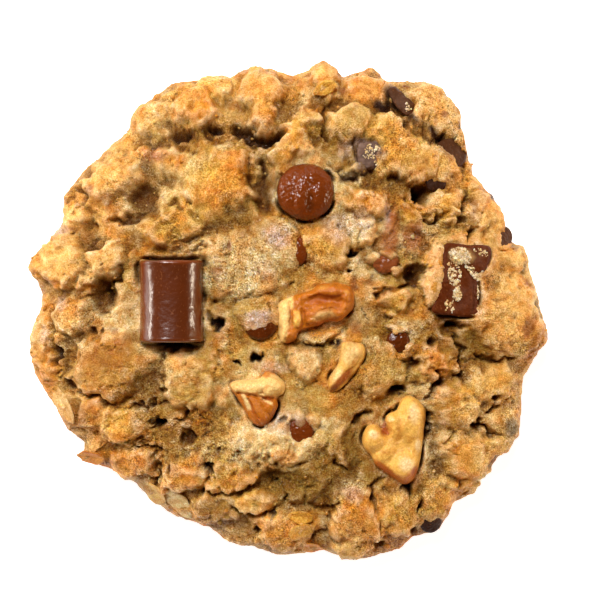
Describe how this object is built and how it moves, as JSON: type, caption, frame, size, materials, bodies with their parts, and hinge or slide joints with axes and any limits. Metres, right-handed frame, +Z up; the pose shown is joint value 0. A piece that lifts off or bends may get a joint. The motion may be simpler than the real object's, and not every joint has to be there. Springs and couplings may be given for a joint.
{
  "type": "monster cookie",
  "caption": "Thick round baked cookie with a craggy golden top, set with a chocolate roll, chocolate chips and chunks and walnut pieces, on a flat underside.",
  "frame": {"origin": "middle of the flat underside that the cookie lies on", "axes": "+Z up through the cookie's thickness, +X to the right and +Y away in the view from above"},
  "size_m": [0.1092, 0.1051, 0.0221],
  "materials": {
    "dough": "matte baked crumb, toasted on its lumps and paler between them",
    "chocolate": "satin milk chocolate",
    "bloomed_chocolate": "dull chocolate with pale bloom and crumbs",
    "walnut": "waxy toasted walnut with cream flesh and a brown skin",
    "toffee": "glossy red-brown toffee"
  },
  "bodies": {
    "root": {"cookie_dough": "dough", "chocolate_roll": "chocolate", "chocolate_chip": "chocolate", "chocolate_chunk": "chocolate", "chip_middle_left": "chocolate", "chip_middle_top": "chocolate", "chip_middle_low": "chocolate", "chip_right_top": "chocolate", "chip_right": "chocolate", "chip_right_low": "chocolate", "chip_rim_right": "chocolate", "chip_rim_low": "chocolate", "chunk_rim_top": "chocolate", "chunk_bloomed": "bloomed_chocolate", "toffee_piece": "toffee", "walnut_centre": "walnut", "walnut_small": "walnut", "walnut_large": "walnut", "walnut_sliver": "walnut"}
  },
  "joints": []
}
